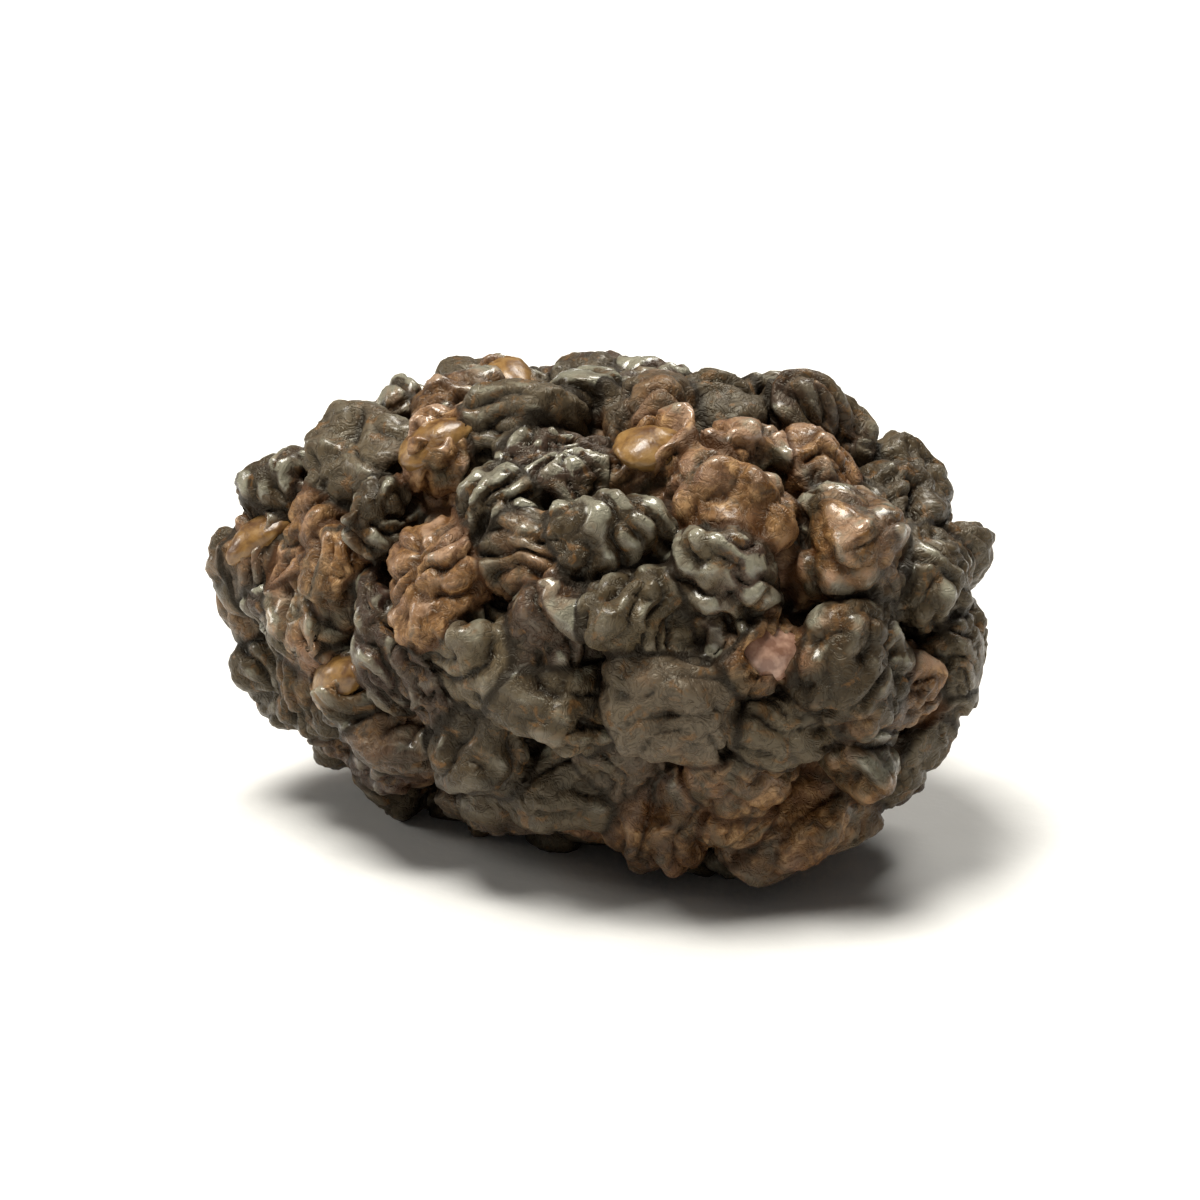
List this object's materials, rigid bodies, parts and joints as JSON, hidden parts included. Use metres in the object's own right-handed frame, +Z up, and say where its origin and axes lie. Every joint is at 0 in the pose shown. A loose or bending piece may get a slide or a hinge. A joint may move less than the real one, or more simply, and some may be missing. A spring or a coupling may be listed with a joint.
{
  "type": "dried mulberry",
  "caption": "Dried black mulberry: an egg-shaped fruit covered with shrivelled, wrinkled drupelets, with a few seeds showing and a short stub of stalk, lying on its side.",
  "frame": {"origin": "on the surface that the fruit lies on, under the middle of its bounding box", "axes": "+X along the fruit from its stalk end to its tip, +Z up, -Y towards the side that the picture shows"},
  "size_m": [0.0184, 0.0128, 0.0111],
  "materials": {
    "skin": "dried, wrinkled fruit skin, dark brown to black with rust brown in the folds, satin with small pale glints",
    "seed": "hard amber seed coat, satin",
    "stalk": "dry brown stalk, dull"
  },
  "bodies": {
    "root": {"fruit": "skin"}
  },
  "joints": []
}
